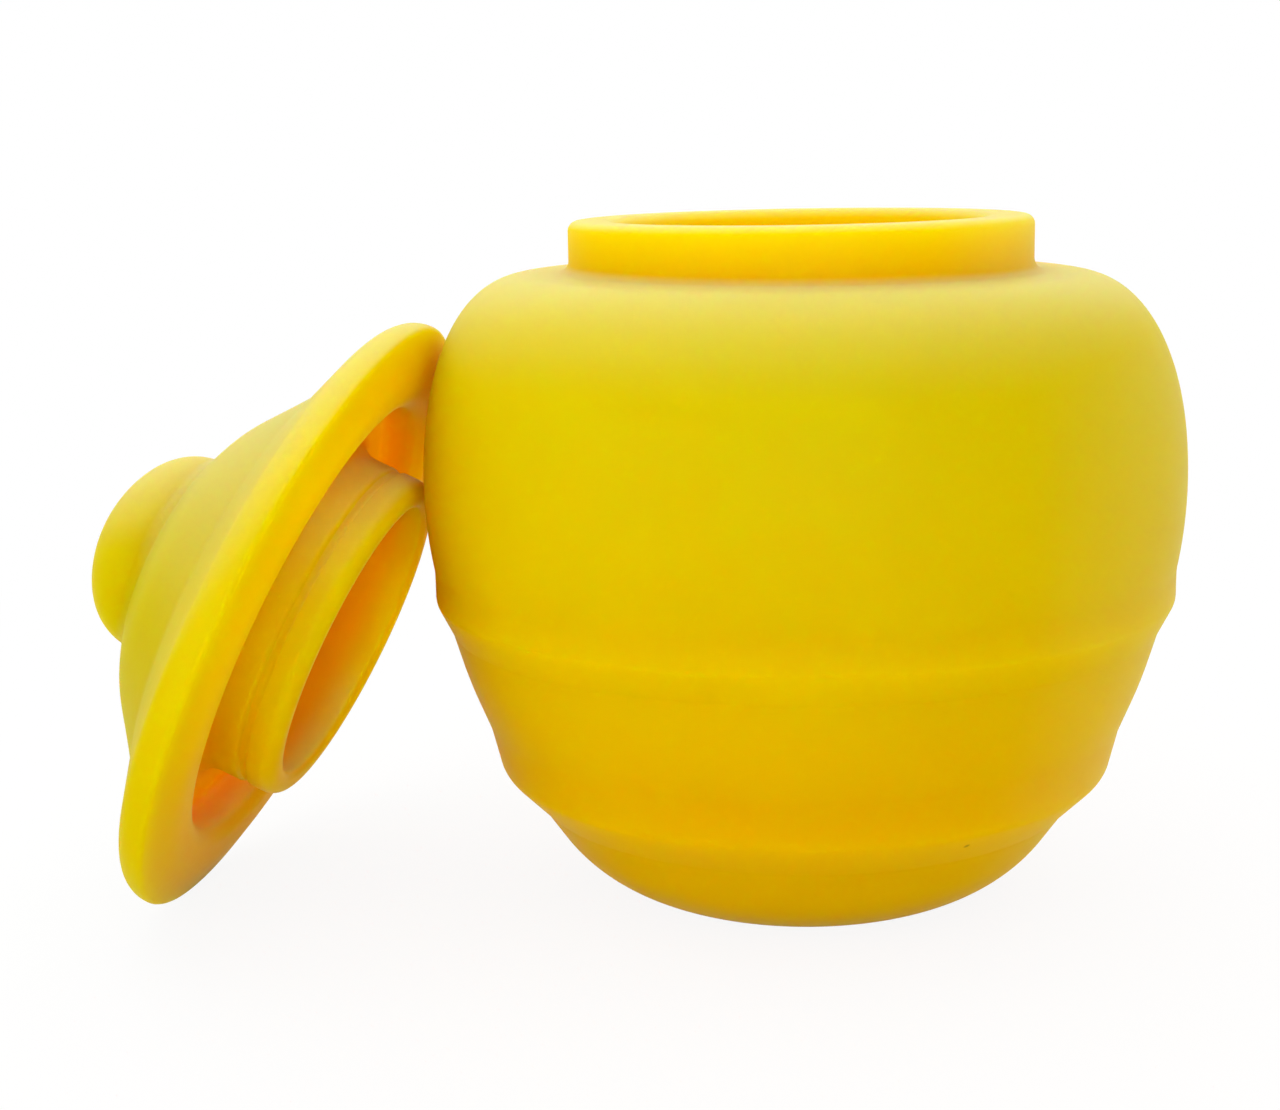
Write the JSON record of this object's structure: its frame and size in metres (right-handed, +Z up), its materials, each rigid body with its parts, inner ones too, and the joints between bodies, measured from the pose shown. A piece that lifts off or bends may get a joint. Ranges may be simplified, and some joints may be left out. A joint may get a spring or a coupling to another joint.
{
  "type": "honey jar",
  "caption": "Round-bellied silicone honey jar with stepped bands, a short neck and an open mouth; its knobbed plug lid is off and leans on the jar's side.",
  "frame": {"origin": "centre of the jar's flat base, on the table", "axes": "+Z up along the jar's axis, +X from the leaning lid towards the jar, +Y away from the viewer of the front"},
  "size_m": [0.1594, 0.11, 0.0989],
  "materials": {
    "jar_silicone": "matte honey-yellow silicone",
    "lid_silicone": "matte honey-yellow silicone"
  },
  "bodies": {
    "jar_body": {"jar": "jar_silicone"},
    "lid_body": {"lid": "lid_silicone"}
  },
  "joints": [
    {"name": "lid_lift", "type": "slide", "parent": "jar_body", "child": "lid_body", "axis": [0, 0, 1], "range_m": [0, 0.12]}
  ]
}
